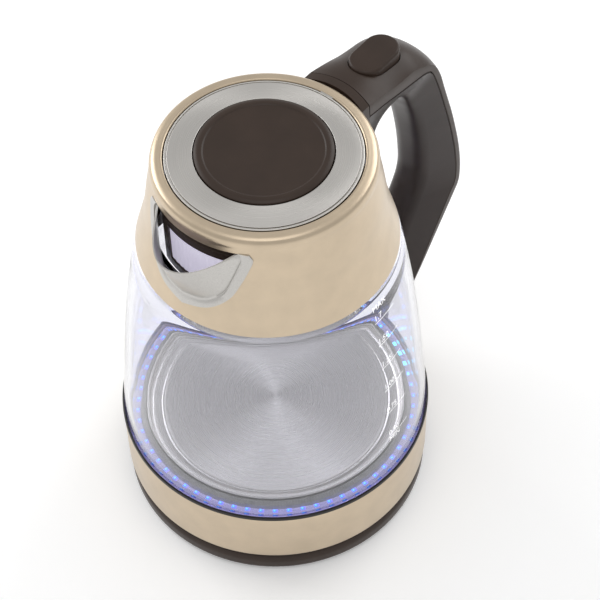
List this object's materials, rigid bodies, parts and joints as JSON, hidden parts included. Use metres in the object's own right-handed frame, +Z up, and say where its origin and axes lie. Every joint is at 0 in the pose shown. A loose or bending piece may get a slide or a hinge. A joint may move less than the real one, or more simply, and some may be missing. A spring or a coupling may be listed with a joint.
{
  "type": "electric kettle",
  "caption": "Cordless electric kettle with a tapered clear glass jug, metal collar and base band, open spout, flush round lid, arched handle and a round power base that it turns on.",
  "frame": {"origin": "middle of the power base, on the table", "axes": "+Z up, +X towards the handle, -X towards the spout, +Y completes the right-handed frame"},
  "size_m": [0.2177, 0.1574, 0.2333],
  "materials": {
    "brown_plastic": "satin",
    "grip_plastic": "fine texture",
    "gold_metal": "satin champagne",
    "steel": "brushed",
    "heater_steel": "turned",
    "brass": "bright",
    "aluminium": "cast",
    "glass": "clear",
    "light_plastic": "clear, lit from below",
    "black_plastic": "satin",
    "rubber": "matt",
    "silicone": "matt",
    "mesh": "fine woven mesh",
    "lamp": "lit",
    "board": "coated"
  },
  "bodies": {
    "power_base": {"base_housing": "brown_plastic", "base_bottom_cover": "black_plastic", "base_connector": "black_plastic", "contact_pin": "brass", "contact_ring_inner": "brass", "contact_ring_outer": "brass", "cord_bush": "black_plastic", "rubber_foot_1": "rubber", "rubber_foot_2": "rubber", "rubber_foot_3": "rubber", "rubber_foot_4": "rubber", "base_screw_1": "steel", "base_screw_2": "steel", "base_screw_3": "steel"},
    "socket": {"kettle_socket": "black_plastic"},
    "kettle": {"bottom_cover": "brown_plastic", "base_band": "gold_metal", "carrier_ring": "black_plastic", "heater_plate": "heater_steel", "heat_spreader": "aluminium", "heating_element": "aluminium", "control_body": "black_plastic", "bimetal_disc": "brass", "heater_seal": "silicone", "light_ring": "light_plastic", "led_board": "board", "led_1": "lamp", "led_2": "lamp", "led_3": "lamp", "switch_pin": "steel", "cover_screw_1": "steel", "cover_screw_2": "steel", "cover_screw_3": "steel", "glass_jug": "glass", "clamp_ring": "black_plastic", "upper_seal": "silicone", "collar_shell": "gold_metal", "spout_lip": "steel", "collar_inner_ring": "brown_plastic", "filter_frame": "brown_plastic", "filter_mesh": "mesh", "junction_piece": "brown_plastic", "handle_cover": "brown_plastic", "handle_grip": "grip_plastic", "button_spring": "steel", "lid_spring": "steel", "handle_screw_1": "steel", "handle_screw_2": "steel", "foot_screw": "steel"},
    "lid": {"lid_ring": "steel", "lid_disc": "brown_plastic", "lid_body": "brown_plastic", "lid_seal": "silicone", "lid_inner_plate": "steel", "lid_hinge_tongue": "steel", "lid_hinge_pin": "steel"},
    "button": {"release_button": "brown_plastic"},
    "latch": {"latch_bolt": "steel"},
    "switch": {"switch_lever": "brown_plastic"}
  },
  "joints": [
    {"name": "kettle_lift", "type": "slide", "parent": "power_base", "child": "socket", "axis": [0, 0, 1], "range_m": [0, 0.06]},
    {"name": "kettle_swivel", "type": "hinge", "parent": "socket", "child": "kettle", "pos_m": [0, 0, 0], "axis": [0, 0, 1], "continuous": true},
    {"name": "lid_hinge", "type": "hinge", "parent": "kettle", "child": "lid", "pos_m": [0.04465, 0, 0.2304], "axis": [0, 1, 0], "range_deg": [0, 75]},
    {"name": "button_press", "type": "slide", "parent": "kettle", "child": "button", "axis": [0, 0, -1], "range_m": [0, 0.003], "stiffness_N_per_m": 400, "deforming": ["button_spring"]},
    {"name": "latch_slide", "type": "slide", "parent": "kettle", "child": "latch", "axis": [1, 0, 0], "range_m": [0, 0.003]},
    {"name": "switch_rock", "type": "hinge", "parent": "kettle", "child": "switch", "pos_m": [0.068, 0, 0.022], "axis": [0, 1, 0], "range_deg": [-9, 0]}
  ],
  "couplings": [
    {"joint": "latch_slide", "follows": "button_press", "ratio": 1}
  ]
}
